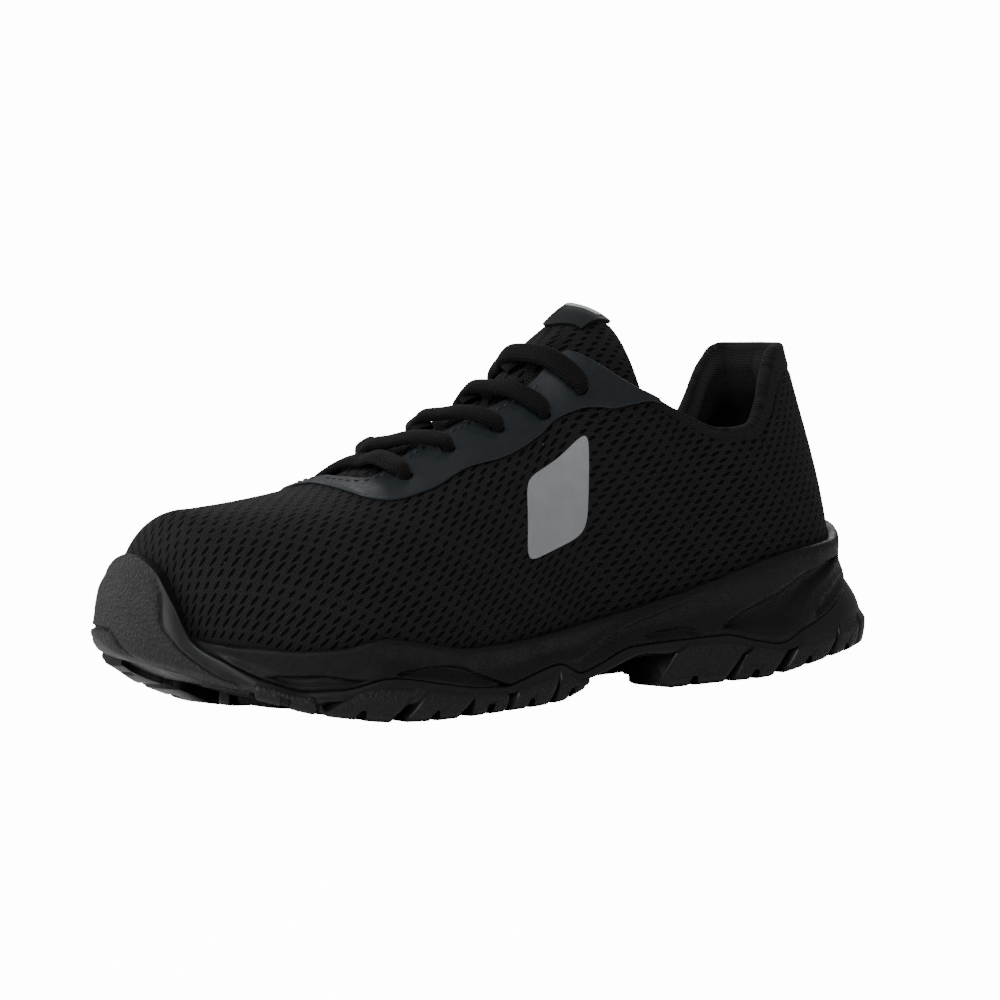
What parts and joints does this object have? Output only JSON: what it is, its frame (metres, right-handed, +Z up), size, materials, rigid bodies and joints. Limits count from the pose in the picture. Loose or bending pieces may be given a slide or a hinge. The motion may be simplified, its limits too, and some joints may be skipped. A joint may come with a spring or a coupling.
{
  "type": "safety sneaker",
  "caption": "Low left safety sneaker: mesh upper with smooth eyestay and laces, padded tongue, foam midsole and lugged rubber outsole with a high toe bumper.",
  "frame": {"origin": "on the floor, at the middle of the shoe's bounding box", "axes": "+X towards the toe, +Y towards the shoe's outer side (the wearer's left), +Z up"},
  "size_m": [0.2976, 0.1086, 0.1305],
  "materials": {
    "outsole_rubber": "matt, grained",
    "midsole_foam": "satin foam",
    "upper_mesh": "knitted air mesh",
    "eyestay_film": "smooth film",
    "lace_knit": "braided",
    "lining": "knitted"
  },
  "bodies": {
    "root": {"outsole": "outsole_rubber", "midsole": "midsole_foam", "insole": "lining", "upper": "upper_mesh", "eyestay": "eyestay_film", "tongue": "upper_mesh", "tongue_label": "eyestay_film", "lace_bar": "lace_knit", "lace_crossing_1": "lace_knit", "lace_crossing_2": "lace_knit", "lace_crossing_3": "lace_knit", "lace_crossing_4": "lace_knit"}
  },
  "joints": []
}
